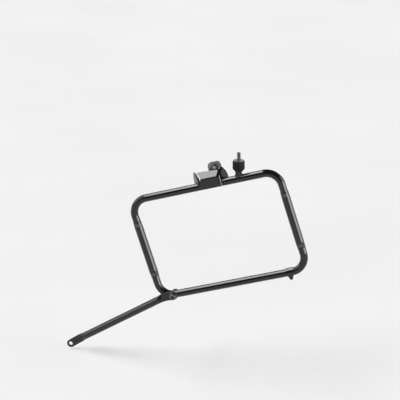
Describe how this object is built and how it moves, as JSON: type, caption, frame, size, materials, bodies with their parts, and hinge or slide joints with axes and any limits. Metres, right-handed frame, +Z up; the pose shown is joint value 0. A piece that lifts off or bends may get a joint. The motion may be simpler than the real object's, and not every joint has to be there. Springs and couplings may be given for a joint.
{
  "type": "pannier frame",
  "caption": "Tubular steel side-case frame for a motorbike: a rounded tube loop with a folded latch catch, bolted and bushed top fixings and a flattened-end strut.",
  "frame": {"origin": "on the axis of the upper fixing bolt, at the seat where its spacer meets the bike", "axes": "+X to the rear of the bike, +Y inboard along the upper bolt, +Z up"},
  "size_m": [0.535, 0.075, 0.4715],
  "materials": {
    "enamel": "gloss black enamel",
    "zinc": "bright zinc plate",
    "dark_screw": "black oxide",
    "rubber": "moulded black rubber"
  },
  "bodies": {
    "root": {"upper_bow": "enamel", "lower_bow": "enamel", "front_upright": "enamel", "rear_upright": "enamel", "latch_catch": "enamel", "rear_stem": "enamel", "rear_lug": "enamel", "strut": "enamel", "cross_bush": "enamel", "upper_bracket": "zinc", "upper_spacer": "zinc", "rear_washer": "zinc", "rear_stud": "zinc", "upper_bolt": "dark_screw", "strut_bolt": "dark_screw", "strut_head_washer": "dark_screw", "strut_nut_washer": "dark_screw", "strut_nut": "dark_screw", "rear_bush": "rubber"}
  },
  "joints": []
}
